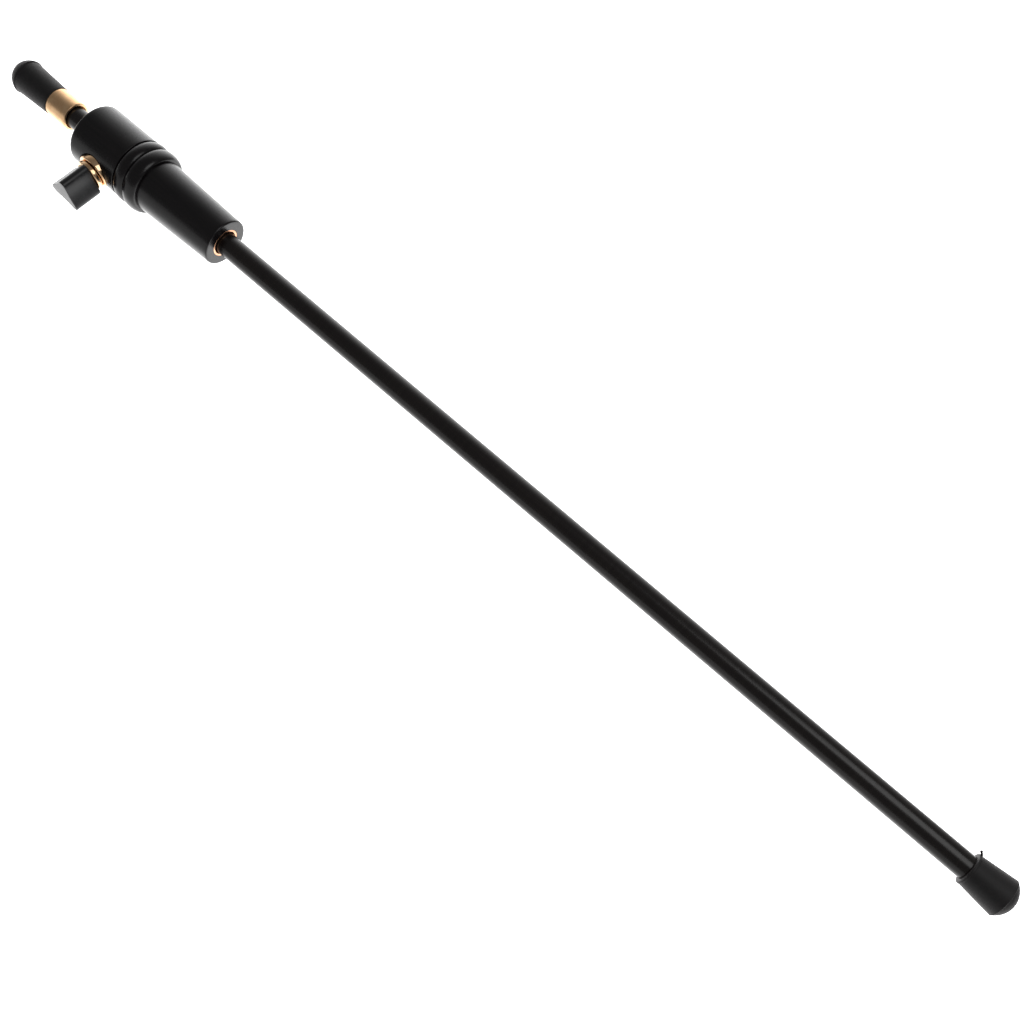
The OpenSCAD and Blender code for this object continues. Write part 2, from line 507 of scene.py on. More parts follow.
class Recipe:
    """A node material that is put together one node at a time."""

    def __init__(self, name: str) -> None:
        """Starts a material with an empty surface.

        Args:
            name: The material's name.
        """
        self.material = bpy.data.materials.new(name)
        self.material.use_nodes = True
        self.tree = self.material.node_tree
        self.shader = self.tree.nodes["Principled BSDF"]
        origin = self.tree.nodes.new("ShaderNodeTexCoord")
        millimetres = self.add("ShaderNodeVectorMath", {0: origin.outputs["Object"]}, operation="SCALE")
        millimetres.inputs["Scale"].default_value = 1 / MM
        self.place = millimetres.outputs[0]

    def add(self, kind: str, inputs: dict, **settings: object) -> bpy.types.Node:
        """Adds a node.

        Args:
            kind: The node's type.
            inputs: What goes into its inputs, by name or number: a socket or a value.
            settings: The node's own settings.

        Returns:
            The node.
        """
        node = self.tree.nodes.new(kind)
        for key, value in settings.items():
            setattr(node, key, value)
        for key, value in inputs.items():
            if isinstance(value, bpy.types.NodeSocket):
                self.tree.links.new(value, node.inputs[key])
            else:
                node.inputs[key].default_value = value
        return node

    def stretched(self, scale: Factors) -> bpy.types.NodeSocket:
        """Gives the place in millimetres, scaled along X, Y and Z."""
        return self.add("ShaderNodeMapping", {"Vector": self.place, "Scale": scale}).outputs[0]

    def along(self, axis: Axis) -> bpy.types.NodeSocket:
        """Gives the distance along an axis in millimetres."""
        inputs = {0: self.place, 1: tuple(axis.direction)}
        return self.add("ShaderNodeVectorMath", inputs, operation="DOT_PRODUCT").outputs["Value"]

    def noise(self, vector: bpy.types.NodeSocket, scale: float, detail: float) -> bpy.types.NodeSocket:
        """Gives a cloudy pattern from 0 to 1."""
        node = self.add("ShaderNodeTexNoise", {"Vector": vector, "Scale": scale, "Detail": detail})
        return node.outputs["Fac"]

    def rings(self, axis: Axis, scale: float, detail: float) -> bpy.types.NodeSocket:
        """Gives a pattern that changes only along an axis, as a turning tool leaves."""
        inputs = {"W": self.along(axis), "Scale": scale, "Detail": detail}
        return self.add("ShaderNodeTexNoise", inputs, noise_dimensions="1D").outputs["Fac"]

    def blend(
        self, factor: bpy.types.NodeSocket, stops: Sequence[tuple[float, Colour]]
    ) -> bpy.types.NodeSocket:
        """Gives a colour that follows a pattern.

        Args:
            factor: The pattern.
            stops: Places on the pattern and the colour at each.

        Returns:
            The colour.
        """
        node = self.add("ShaderNodeValToRGB", {"Fac": factor})
        ramp = node.color_ramp
        while len(ramp.elements) < len(stops):
            ramp.elements.new(0.5)
        for element, (position, colour) in zip(ramp.elements, stops):
            element.position = position
            element.color = (*colour, 1.0)
        return node.outputs["Color"]

    def between(self, factor: bpy.types.NodeSocket, low: float, high: float) -> bpy.types.NodeSocket:
        """Gives a number from low to high that follows a pattern from 0.3 to 0.7."""
        inputs = {"Value": factor, "From Min": 0.3, "From Max": 0.7, "To Min": low, "To Max": high}
        return self.add("ShaderNodeMapRange", inputs).outputs["Result"]

    def total(self, parts: Sequence[tuple[bpy.types.NodeSocket, float]]) -> bpy.types.NodeSocket:
        """Adds patterns up, each with its own weight.

        Args:
            parts: The patterns and their weights.

        Returns:
            The sum.
        """
        result = None
        for pattern, weight in parts:
            inputs = {0: pattern, 1: weight, 2: result if result is not None else 0.0}
            result = self.add("ShaderNodeMath", inputs, operation="MULTIPLY_ADD").outputs[0]
        return result

    def relief(self, height: bpy.types.NodeSocket, depth: float) -> None:
        """Gives the surface a relief of a depth in metres."""
        bump = self.add("ShaderNodeBump", {"Height": height, "Distance": depth, "Strength": 1.0})
        self.tree.links.new(bump.outputs[0], self.shader.inputs["Normal"])

    def set(self, name: str, value: object) -> None:
        """Sets one of the surface's inputs to a socket or a value."""
        if isinstance(value, bpy.types.NodeSocket):
            self.tree.links.new(value, self.shader.inputs[name])
        else:
            self.shader.inputs[name].default_value = value


@dataclass(frozen=True)
class Ebony:
    """Turned, stained and polished ebony: near black, with fine long pores."""

    name: str = "turned_ebony"
    dark: Colour = (0.0030, 0.0026, 0.0030)
    light: Colour = (0.0068, 0.0050, 0.0056)
    roughness: tuple[float, float] = (0.21, 0.28)
    pore_depth: float = 0.012 * MM
    specular: float = 0.36

    def material(self, axis: Axis) -> bpy.types.Material:
        """Makes the material for a piece turned round an axis.

        Args:
            axis: The piece's axis, which the tool marks run round. The grain runs along X.

        Returns:
            The material.
        """
        recipe = Recipe(self.name)
        fibres = recipe.noise(recipe.stretched((0.05, 1.3, 1.3)), scale=1.0, detail=5.0)
        pores = recipe.noise(recipe.stretched((0.22, 4.5, 4.5)), scale=1.0, detail=2.0)
        clouds = recipe.noise(recipe.place, scale=0.09, detail=2.0)
        pits = recipe.between(recipe.between(pores, -1.6, 1.9), 0.0, 1.0)
        tint = recipe.total([(fibres, 0.75), (clouds, 0.25)])
        recipe.set("Base Color", recipe.blend(tint, [(0.36, self.dark), (0.66, self.light)]))
        gloss = recipe.total([(fibres, 0.5), (clouds, 0.5)])
        recipe.set("Roughness", recipe.between(gloss, *self.roughness))
        tool_marks = recipe.rings(axis, scale=3.5, detail=3.0)
        recipe.relief(recipe.total([(pits, -0.35), (fibres, 0.2), (tool_marks, 0.18)]), self.pore_depth)
        recipe.set("Specular IOR Level", self.specular)
        return recipe.material


class Polish(Enum):
    """How a metal piece was finished."""

    SATIN = "satin"
    MIRROR = "mirror"
    TURNED = "turned"


@dataclass(frozen=True)
class Metal:
    """Bare metal, with tool marks and a little tarnish."""

    name: str
    clean: Colour
    tarnished: Colour
    polish: Polish

    def material(self, axis: Axis) -> bpy.types.Material:
        """Makes the material for a piece turned round an axis.

        Args:
            axis: The piece's axis, which the tool marks run round.

        Returns:
            The material.
        """
        roughness = {Polish.SATIN: (0.27, 0.36), Polish.MIRROR: (0.10, 0.17), Polish.TURNED: (0.22, 0.34)}
        depth = {Polish.SATIN: 0.006, Polish.MIRROR: 0.0015, Polish.TURNED: 0.012}
        recipe = Recipe(self.name)
        clouds = recipe.noise(recipe.place, scale=0.35, detail=4.0)
        specks = recipe.noise(recipe.place, scale=3.0, detail=3.0)
        tool_marks = recipe.rings(axis, scale=9.0, detail=4.0)
        tarnish = recipe.total([(clouds, 0.55), (specks, 0.25), (tool_marks, 0.2)])
        recipe.set("Base Color", recipe.blend(tarnish, [(0.38, self.clean), (0.66, self.tarnished)]))
        recipe.set("Metallic", 1.0)
        wear = recipe.total([(clouds, 0.4), (tool_marks, 0.6)])
        recipe.set("Roughness", recipe.between(wear, *roughness[self.polish]))
        recipe.relief(recipe.total([(tool_marks, 0.8), (specks, 0.2)]), depth[self.polish] * MM)
        return recipe.material


@dataclass(frozen=True)
class BlackCoat:
    """The rod's thin satin-black coat, drawn along its length and lightly rubbed."""

    name: str = "satin_black_coat"
    coat: Colour = (0.0066, 0.0046, 0.0042)
    rubbed: Colour = (0.0125, 0.0088, 0.0076)
    roughness: tuple[float, float] = (0.22, 0.29)
    relief: float = 0.004 * MM
    specular: float = 0.4

    def material(self, axis: Axis) -> bpy.types.Material:
        """Makes the material.

        Args:
            axis: The rod's axis.

        Returns:
            The material.
        """
        recipe = Recipe(self.name)
        drawn = recipe.noise(recipe.stretched((0.015, 3.2, 3.2)), scale=1.0, detail=4.0)
        clouds = recipe.noise(recipe.place, scale=0.06, detail=3.0)
        grit = recipe.noise(recipe.place, scale=9.0, detail=2.0)
        rub = recipe.rings(axis, scale=0.5, detail=4.0)
        tint = recipe.total([(drawn, 0.4), (clouds, 0.35), (rub, 0.25)])
        recipe.set("Base Color", recipe.blend(tint, [(0.4, self.coat), (0.68, self.rubbed)]))
        recipe.set("Roughness", recipe.between(recipe.total([(drawn, 0.5), (rub, 0.5)]), *self.roughness))
        recipe.relief(recipe.total([(drawn, 0.5), (grit, 0.5)]), self.relief)
        recipe.set("Specular IOR Level", self.specular)
        return recipe.material


@dataclass(frozen=True)
class Rubber:
    """Moulded black rubber with a dusty bloom."""

    name: str = "moulded_rubber"
    fresh: Colour = (0.0070, 0.0060, 0.0063)
    bloomed: Colour = (0.0120, 0.0100, 0.0106)
    roughness: tuple[float, float] = (0.50, 0.60)
    relief: float = 0.02 * MM
    specular: float = 0.35
    sheen: float = 0.03
    sheen_roughness: float = 0.4
    sheen_tint: Colour = (0.75, 0.45, 0.52)

    def material(self, axis: Axis) -> bpy.types.Material:
        """Makes the material.

        Args:
            axis: The axis that the mould was turned round.

        Returns:
            The material.
        """
        recipe = Recipe(self.name)
        grain = recipe.noise(recipe.place, scale=7.0, detail=3.0)
        bloom = recipe.noise(recipe.place, scale=0.5, detail=4.0)
        mould_marks = recipe.rings(axis, scale=4.0, detail=2.0)
        tint = recipe.total([(bloom, 0.7), (grain, 0.3)])
        recipe.set("Base Color", recipe.blend(tint, [(0.4, self.fresh), (0.68, self.bloomed)]))
        recipe.set("Roughness", recipe.between(tint, *self.roughness))
        recipe.relief(recipe.total([(grain, 0.7), (mould_marks, 0.3)]), self.relief)
        recipe.set("Specular IOR Level", self.specular)
        recipe.set("Sheen Weight", self.sheen)
        recipe.set("Sheen Roughness", self.sheen_roughness)
        recipe.set("Sheen Tint", (*self.sheen_tint, 1.0))
        return recipe.material


@dataclass(frozen=True)
class KnobFinish:
    """The knob's satin-black moulding, rubbed a little brighter in patches."""

    name: str = "satin_black_moulding"
    deep: Colour = (0.0080, 0.0080, 0.0088)
    handled: Colour = (0.0140, 0.0140, 0.0152)
    roughness: tuple[float, float] = (0.30, 0.42)
    relief: float = 0.012 * MM
    specular: float = 0.4

    def material(self, axis: Axis) -> bpy.types.Material:
        """Makes the material.

        Args:
            axis: The screw's axis.

        Returns:
            The material.
        """
        recipe = Recipe(self.name)
        grain = recipe.noise(recipe.place, scale=6.0, detail=3.0)
        clouds = recipe.noise(recipe.place, scale=0.25, detail=3.0)
        rub = recipe.rings(axis, scale=1.2, detail=3.0)
        tint = recipe.total([(clouds, 0.6), (grain, 0.2), (rub, 0.2)])
        recipe.set("Base Color", recipe.blend(tint, [(0.38, self.deep), (0.66, self.handled)]))
        recipe.set("Roughness", recipe.between(tint, *self.roughness))
        recipe.relief(recipe.total([(grain, 0.8), (clouds, 0.2)]), self.relief)
        recipe.set("Specular IOR Level", self.specular)
        return recipe.material


@dataclass(frozen=True)
class PaleFloor:
    """A plain pale floor that glows like a light table.

    The glow dims along Y towards the front and along X towards one side. The two pairs
    hold the places, in millimetres, where it is dimmest and where it is full.
    """

    name: str = "pale_floor"
    light: Colour = (0.90, 0.90, 0.90)
    shade: Colour = (0.86, 0.86, 0.865)
    glow: float = 2.2
    dim_glow: float = 0.45
    front: tuple[float, float] = (-410.0, 60.0)
    side: tuple[float, float] = (1300.0, 300.0)

    def material(self) -> bpy.types.Material:
        """Makes the material."""
        recipe = Recipe(self.name)
        clouds = recipe.noise(recipe.place, scale=0.01, detail=2.0)
        recipe.set("Base Color", recipe.blend(clouds, [(0.3, self.light), (0.7, self.shade)]))
        recipe.set("Roughness", 0.9)
        recipe.set("Specular IOR Level", 0.1)
        recipe.set("Emission Color", (1.0, 1.0, 1.0, 1.0))
        where = recipe.add("ShaderNodeSeparateXYZ", {0: recipe.place})
        shares = []
        for axis, (dark, bright) in (("Y", self.front), ("X", self.side)):
            inputs = {"Value": where.outputs[axis], "From Min": dark, "From Max": bright}
            share = recipe.add("ShaderNodeMapRange", inputs, interpolation_type="SMOOTHSTEP")
            shares.append(share.outputs["Result"])
        lit = recipe.add("ShaderNodeMath", {0: shares[0], 1: shares[1]}, operation="MULTIPLY").outputs[0]
        glow = recipe.add("ShaderNodeMapRange", {"Value": lit, "To Min": self.dim_glow, "To Max": self.glow})
        recipe.set("Emission Strength", glow.outputs["Result"])
        return recipe.material


SATIN_BRASS = Metal("satin_brass", (0.88, 0.58, 0.33), (0.72, 0.44, 0.23), Polish.SATIN)
POLISHED_BRASS = Metal("polished_brass", (0.88, 0.62, 0.38), (0.64, 0.39, 0.21), Polish.MIRROR)
LINER_COPPER = Metal("turned_copper", (0.80, 0.45, 0.28), (0.50, 0.24, 0.13), Polish.TURNED)
BRIGHT_STEEL = Metal("bright_steel", (0.62, 0.62, 0.63), (0.40, 0.39, 0.38), Polish.TURNED)


# ---------------------------------------------------------------- sub-assemblies


@dataclass(frozen=True)
class Role:
    """What a piece stands for: the body it rides, its frame node and its material slot."""

    body: str
    node: str
    slot: str


@dataclass
class SubAssembly:
    """A group of pieces that is built and dressed together."""

    frame: dict
    rod: Axis
    made: list[str] = field(default_factory=list, init=False)

    def span(self, node: str, axis: Axis | None = None) -> Span:
        """Measures a frame node along an axis, or along the rod if none is given."""
        return (axis or self.rod).span(self.frame["nodes"][node])

    def fit(self, name: str, shape: bmesh.types.BMesh, role: Role, material: bpy.types.Material) -> None:
        """Puts a piece in place of a frame node.

        Args:
            name: The piece's name.
            shape: Its shape, in the shared frame, which is used up.
            role: What it stands for.
            material: Its material.
        """
        piece = new_piece(name, finished_mesh(name, shape))
        piece.data.materials.append(material)
        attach(piece, role.body)
        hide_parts(role.node)
        self.made.append(name)


@dataclass
class Plug(SubAssembly):
    """The turned plug, its liner and the thumbscrew's bush."""

    screw: Axis = None
    collar_radius: float = 14.4 * MM
    collar_edge: float = 1.8 * MM
    collar_foot: float = 0.25 * MM
    mouth_chamfer: float = 0.3 * MM
    first_bead: float = 5.8 * MM
    last_bead: float = 7 * MM
    last_crest: float = 4.3 * MM
    shoulder_radius: float = 12.9 * MM
    groove: float = 1.5 * MM
    crest_margin: float = 0.02 * MM
    taper_radius: float = 12.2 * MM
    taper_end_radius: float = 10.85 * MM
    taper_edge: float = 0.7 * MM
    seat_gap: float = 0.5 * MM
    bore: float = 5.1 * MM
    flare: float = 0.4 * MM
    flare_length: float = 3 * MM
    thread_bore: float = 3.05 * MM
    bush_hole: float = 4.5 * MM
    bush_play: float = 0.05 * MM
    cut_past: float = 20 * MM
    liner_cut_from: float = 2 * MM
    liner_edge: float = 0.15 * MM
    liner_mouth_edge: float = 0.25 * MM
    liner_step: float = 2 * MM
    flange_edge: float = 0.6 * MM
    thread_chamfer: float = 0.4 * MM

    def seat_place(self) -> float:
        """Gives the distance from the rod's axis to the bottom of the bush's seat."""
        reach = self.span("screw_bush", self.screw).radius + self.seat_gap
        return math.sqrt(self.collar_radius**2 - reach**2)

    def outline(self) -> Outline:
        """Gives the plug's outline from its inner end to its outer face.

        Returns:
            The outline as a loop round the hole for the liner.
        """
        body = self.span("plug_body")
        hole = self.span("liner_tube").radius
        crest = body.radius - self.crest_margin
        root = crest - self.groove
        beads_end = -(self.first_bead + self.last_bead)
        taper = rounded(
            [
                (hole, body.end, 0),
                (self.taper_end_radius, body.end, self.taper_edge),
                (self.taper_radius, 0, 0),
            ]
        )
        fork = (root, -self.last_bead)
        first_top = (crest, -self.last_bead - self.first_bead / 2)
        beads = bead((self.shoulder_radius, 0), (crest, -self.last_crest), fork)
        beads += bead(fork, first_top, (root, beads_end))[1:]
        collar = rounded(
            [
                (root, beads_end, 0),
                (self.collar_radius, beads_end, self.collar_foot),
                (self.collar_radius, body.start, self.collar_edge),
                (hole + self.mouth_chamfer, body.start, CRISP_EDGE),
                (hole, body.start + self.mouth_chamfer, 0),
            ]
        )
        return evenly(taper + beads + collar, FINE_STEP, closed=True)

    def build_body(self) -> None:
        """Turns the wooden plug and cuts the bush's seat and hole into it."""
        seat = self.seat_place()
        seat_radius = self.span("screw_bush", self.screw).radius + self.seat_gap
        steps = [
            (0, self.bore),
            (self.bush_hole, self.bore),
            (self.bush_hole, seat),
            (seat_radius, seat),
            (seat_radius, seat + self.cut_past),
            (0, seat + self.cut_past),
        ]
        shape = turned_shape(self.rod, self.outline(), 224, closed=True)
        shape = without(shape, turned_shape(self.screw, steps, 96, closed=False))
        role = Role("plug", "plug_body", "ebony")
        self.fit("turned_plug", shape, role, Ebony().material(self.rod))

    def build_liner(self) -> None:
        """Turns the copper-coloured liner: a wide mouth at each end and a hole for the screw."""
        tube = self.span("liner_tube")
        wide = self.bore + self.flare
        outline = rounded(
            [
                (tube.radius, tube.start, self.liner_edge),
                (tube.radius, tube.end, self.liner_edge),
                (wide, tube.end, self.liner_mouth_edge),
                (wide, tube.end - self.flare_length, FINE_EDGE),
                (self.bore, tube.end - self.flare_length - self.flare, FINE_EDGE),
                (self.bore, tube.start + self.flare_length + self.flare, FINE_EDGE),
                (wide, tube.start + self.flare_length, FINE_EDGE),
                (wide, tube.start, self.liner_mouth_edge),
            ],
            closed=True,
        )
        near, far = self.liner_cut_from, self.cut_past
        steps = [(0, near), (self.thread_bore, near), (self.thread_bore, far), (0, far)]
        shape = turned_shape(self.rod, evenly(outline, self.liner_step, closed=True), 128, closed=True)
        shape = without(shape, turned_shape(self.screw, steps, 64, closed=False))
        role = Role("plug", "liner_tube", "liner_copper")
        self.fit("copper_liner", shape, role, LINER_COPPER.material(self.rod))

    def build_bush(self) -> None:
        """Turns the brass bush that the thumbscrew runs in, with its rounded flange."""
        bush = self.span("screw_bush", self.screw)
        seat = self.seat_place()
        neck = self.bush_hole - self.bush_play
        outline = rounded(
            [
                (self.thread_bore, bush.start, CRISP_EDGE),
                (neck, bush.start, CRISP_EDGE),
                (neck, seat, FINE_EDGE),
                (bush.radius, seat, CRISP_EDGE),
                (bush.radius, bush.end, self.flange_edge),
                (self.thread_bore + self.thread_chamfer, bush.end, FINE_EDGE),
                (self.thread_bore, bush.end - self.thread_chamfer, FINE_EDGE),
            ],
            closed=True,
        )
        shape = turned_shape(self.screw, outline, 144, closed=True)
        role = Role("plug", "screw_bush", "polished_brass")
        self.fit("turned_bush", shape, role, POLISHED_BRASS.material(self.screw))

    def build(self) -> None:
        """Builds and dresses every piece of the plug."""
        self.build_body()
        self.build_liner()
        self.build_bush()


@dataclass
class Thumbscrew(SubAssembly):
    """The pressure shoe, the brass screw and its black three-sided knob."""

    screw: Axis = None
    shoe_thickness: float = 2.6 * MM
    peg_radius: float = 1.2 * MM
    thread_radius: float = 3 * MM
    thread_depth: float = 0.55 * MM
    thread_pitch: float = 1 * MM
    thread_start: float = 0.3 * MM
    thread_play: float = 0.05 * MM
    peg_play: float = 0.05 * MM
    peg_hole_depth: float = 2.6 * MM
    collar_height: float = 2.1 * MM
    collar_radius: float = 6.6 * MM
    collar_edge: float = 0.45 * MM
    knob_peg_radius: float = 2.5 * MM
    knob_peg_length: float = 8 * MM
    corner_radius: float = 2.2 * MM
    first_corner: float = math.radians(17.5)
    hollow: float = 0.35 * MM
    top_edge: float = 0.45 * MM
    foot_edge: float = 0.8 * MM

    def build_shoe(self) -> None:
        """Turns the small brass shoe that presses on the rod."""
        shoe = self.span("clamp_shoe", self.screw)
        top = shoe.start + self.shoe_thickness
        outline = rounded(
            [
                (0, shoe.start, 0),
                (shoe.radius, shoe.start, SOFT_EDGE),
                (shoe.radius, top, CRISP_EDGE),
                (self.peg_radius, top, FINE_EDGE),
                (self.peg_radius, shoe.end, SOFT_EDGE),
                (0, shoe.end, 0),
            ]
        )
        shape = turned_shape(self.screw, outline, 64, closed=False)
        role = Role("clamp_shoe", "clamp_shoe", "polished_brass")
        self.fit("pressure_shoe", shape, role, POLISHED_BRASS.material(self.screw))

    def build_stem(self) -> None:
        """Turns the screw: a threaded shank, a polished collar and the knob's peg."""
        stem = self.span("screw_stem", self.screw)
        knob = self.span("screw_knob", self.screw)
        collar_start = knob.start - self.collar_height
        hole = self.peg_radius + self.peg_play
        hole_end = stem.start + self.peg_hole_depth
        core_radius = self.thread_radius - self.thread_depth - self.thread_play
        outline = rounded(
            [
                (hole, stem.start, 0),
                (core_radius, stem.start, CRISP_EDGE),
                (core_radius, collar_start, FINE_EDGE),
                (self.collar_radius, collar_start, self.collar_edge),
                (self.collar_radius, knob.start, self.collar_edge),
                (self.knob_peg_radius, knob.start, FINE_EDGE),
                (self.knob_peg_radius, knob.start + self.knob_peg_length, SOFT_EDGE),
                (0, knob.start + self.knob_peg_length, 0),
            ]
        )
        floor = [(0, hole_end), (hole, hole_end)]
        core = turned_shape(self.screw, floor + outline, 144, closed=False)
        thread = threaded_shape(
            self.screw,
            stem.start + self.thread_start,
            collar_start - self.thread_play,
            self.thread_radius,
            self.thread_depth,
            self.thread_pitch,
            72,
        )
        shape = merged([core, thread])
        role = Role("thumbscrew", "screw_stem", "polished_brass")
        self.fit("thumbscrew_stem", shape, role, POLISHED_BRASS.material(self.screw))

    def knob_ring(
        self, inset: float, side_points: int = 10, corner_points: int = 10
    ) -> list[tuple[float, float]]:
        """Gives one level of the knob as (radius, angle) pairs.

        Args:
            inset: How far the level is drawn in from the full outline.
            side_points: Number of steps along each hollow side.
            corner_points: Number of steps round each corner.

        Returns:
            The level's points in order round the screw.
        """
        knob = self.span("screw_knob", self.screw)
        corner = self.corner_radius - inset
        place = knob.radius - self.corner_radius
        points = []
        third = FULL_TURN / 3
        for index in range(3):
            middle = self.first_corner + third * index
            centre = Vector((math.cos(middle), math.sin(middle))) * place
            for step in range(corner_points + 1):
                angle = middle - third / 2 + third * step / corner_points
                points.append(centre + Vector((math.cos(angle), math.sin(angle))) * corner)
            start = points[-1]
            ahead = middle + third
            end = Vector((math.cos(ahead), math.sin(ahead))) * place
            end += Vector((math.cos(ahead - third / 2), math.sin(ahead - third / 2))) * corner
            inward = -(start + end).normalized()
            for step in range(1, side_points):
                share = step / side_points
                sag = self.hollow * (1 - (2 * share - 1) ** 2) ** 2
                points.append(start.lerp(end, share) + inward * sag)
        return [(point.length, math.atan2(point.y, point.x)) for point in points]

    def build_knob(self) -> None:
        """Moulds the knob: three slightly hollow sides, a drawn-in foot and a crisp top edge."""
        knob = self.span("screw_knob", self.screw)
        shape = bmesh.new()
        steps = 8
        quarter = [math.pi / 2 * step / steps for step in range(steps + 1)]
        foot, top = self.foot_edge, self.top_edge
        levels = [(foot * (1 - math.sin(a)), knob.start + foot * (1 - math.cos(a))) for a in quarter]
        wall_start = levels[-1][1]
        rise = knob.end - top - wall_start
        levels += [(0.0, wall_start + rise * step / steps) for step in range(1, steps + 1)]
        levels += [(top * (1 - math.cos(a)), knob.end - top * (1 - math.sin(a))) for a in quarter[1:]]
        rings = []
        for inset, place in levels:
            rings.append([shape.verts.new(self.screw.at(r, place, a)) for r, a in self.knob_ring(inset)])
        join_rings(shape, rings)
        count = len(rings[0])
        for ring, place in ((rings[0], knob.start), (rings[-1], knob.end)):
            centre = shape.verts.new(self.screw.at(0, place, 0))
            middle = [shape.verts.new(vertex.co.lerp(centre.co, 0.5)) for vertex in ring]
            for k in range(count):
                after = (k + 1) % count
                shape.faces.new([ring[k], ring[after], middle[after], middle[k]])
                shape.faces.new([middle[k], middle[after], centre])
        role = Role("thumbscrew", "screw_knob", "black_knob")
        self.fit("three_sided_knob", shape, role, KnobFinish().material(self.screw))

    def build(self) -> None:
        """Builds and dresses every piece of the thumbscrew."""
        self.build_shoe()
        self.build_stem()
        self.build_knob()


@dataclass
class SlidingRod(SubAssembly):
    """The rod's tube, its ferrule, and the spike in its socket."""

    wall: float = 1.5 * MM
    tube_step: float = 12 * MM
    ferrule_step: float = 1 * MM
    ferrule_clearance: float = 0.5 * MM
    ferrule_mouth: float = 2.5 * MM
    spike_radius: float = 4 * MM
    shank_length: float = 10 * MM
    shoulder_edge: float = 0.8 * MM
    head_edge: float = 0.15 * MM
    tip_radius: float = 0.4 * MM
    tail_radius: float = 2.5 * MM
    tail_length: float = 10 * MM

    def build_tube(self) -> None:
        """Draws the long black tube."""
        tube = self.span("rod_tube")
        inside = tube.radius - self.wall
        outline = rounded(
            [
                (tube.radius, tube.start, SOFT_EDGE),
                (tube.radius, tube.end, SOFT_EDGE),
                (inside, tube.end, SOFT_EDGE),
                (inside, tube.start, SOFT_EDGE),
            ],
            closed=True,
        )
        shape = turned_shape(self.rod, evenly(outline, self.tube_step, closed=True), 144, closed=True)
        role = Role("rod", "rod_tube", "black_rod")
        self.fit("black_tube", shape, role, BlackCoat().material(self.rod))

    def build_ferrule(self) -> None:
        """Turns the satin brass ferrule, with a gap round the rod at its inner mouth."""
        ferrule = self.span("ferrule")
        bore = self.span("rod_tube").radius
        mouth = bore + self.ferrule_clearance
        outline = rounded(
            [
                (bore, ferrule.start, 0),
                (ferrule.radius, ferrule.start, ROUND_EDGE),
                (ferrule.radius, ferrule.end, ROUND_EDGE),
                (mouth, ferrule.end, CRISP_EDGE),
                (mouth, ferrule.end - self.ferrule_mouth, 0),
                (bore, ferrule.end - self.ferrule_mouth, 0),
            ],
            closed=True,
        )
        shape = turned_shape(self.rod, evenly(outline, self.ferrule_step, closed=True), 160, closed=True)
        role = Role("rod", "ferrule", "satin_brass")
        self.fit("brass_ferrule", shape, role, SATIN_BRASS.material(self.rod))

    def build_socket(self) -> None:
        """Turns the socket that holds the spike in the tube."""
        socket = self.span("spike_socket")
        depth = socket.start + self.tail_length
        outline = rounded(
            [
                (self.tail_radius, socket.start, 0),
                (socket.radius, socket.start, CRISP_EDGE),
                (socket.radius, socket.end, ROUND_EDGE),
                (0, socket.end, 0),
            ]
        )
        floor = [(0, depth), (self.tail_radius, depth)]
        shape = turned_shape(self.rod, floor + outline, 96, closed=False)
        role = Role("rod", "spike_socket", "bright_steel")
        self.fit("turned_socket", shape, role, BRIGHT_STEEL.material(self.rod))

    def build_spike(self) -> None:
        """Turns the steel spike: head, shank and blunt point."""
        spike = self.span("spike")
        ferrule = self.span("ferrule")
        socket = self.span("spike_socket")
        outline = rounded(
            [
                (0, spike.start, 0),
                (self.tip_radius, spike.start, CRISP_EDGE),
                (self.spike_radius, ferrule.start - self.shank_length, self.shoulder_edge),
                (self.spike_radius, ferrule.start, FINE_EDGE),
                (spike.radius, ferrule.start, self.head_edge),
                (spike.radius, socket.start, self.head_edge),
                (self.tail_radius, socket.start, FINE_EDGE),
                (self.tail_radius, spike.end, ROUND_EDGE),
                (0, spike.end, 0),
            ]
        )
        shape = turned_shape(self.rod, outline, 112, closed=False)
        role = Role("rod", "spike", "bright_steel")
        self.fit("floor_spike", shape, role, BRIGHT_STEEL.material(self.rod))

    def build(self) -> None:
        """Builds and dresses every piece that slides with the rod."""
        self.build_tube()
        self.build_ferrule()
        self.build_socket()
        self.build_spike()


@dataclass
class FloorCap(SubAssembly):
    """The rubber cap over the spike."""

    mouth_radius: float = 6.8 * MM
    dome_height: float = 6.3 * MM
    bore: float = 4.05 * MM
    tip_radius: float = 0.4 * MM
    shank_depth: float = 10 * MM
    point_depth: float = 17 * MM
    mouth_edge: float = 0.35 * MM
    ridge: float = 0.35 * MM
    ridge_edge: float = 0.15 * MM
    flare: float = 0.35 * MM

    def build(self) -> None:
        """Moulds the cap: a sleeve that widens to a fine ridge under its dome."""
        cap = self.span("floor_cap")
        rim = cap.start + self.dome_height
        outside = rounded(
            [
                (self.bore, cap.end, 0),
                (self.mouth_radius, cap.end, self.mouth_edge),
                (cap.radius - self.flare, rim + self.ridge, self.ridge_edge),
                (cap.radius, rim, 0),
            ]
        )
        crown = dome(cap.radius, rim, -self.dome_height)[1:]
        inside = [
            (0, cap.end - self.point_depth),
            (self.tip_radius, cap.end - self.point_depth),
            (self.bore, cap.end - self.shank_depth),
        ]
        outline = inside + evenly(outside + crown, FINE_STEP)
        shape = turned_shape(self.rod, outline, 160, closed=False)
        role = Role("floor_cap", "floor_cap", "black_rubber")
        self.fit("rubber_floor_cap", shape, role, Rubber().material(self.rod))


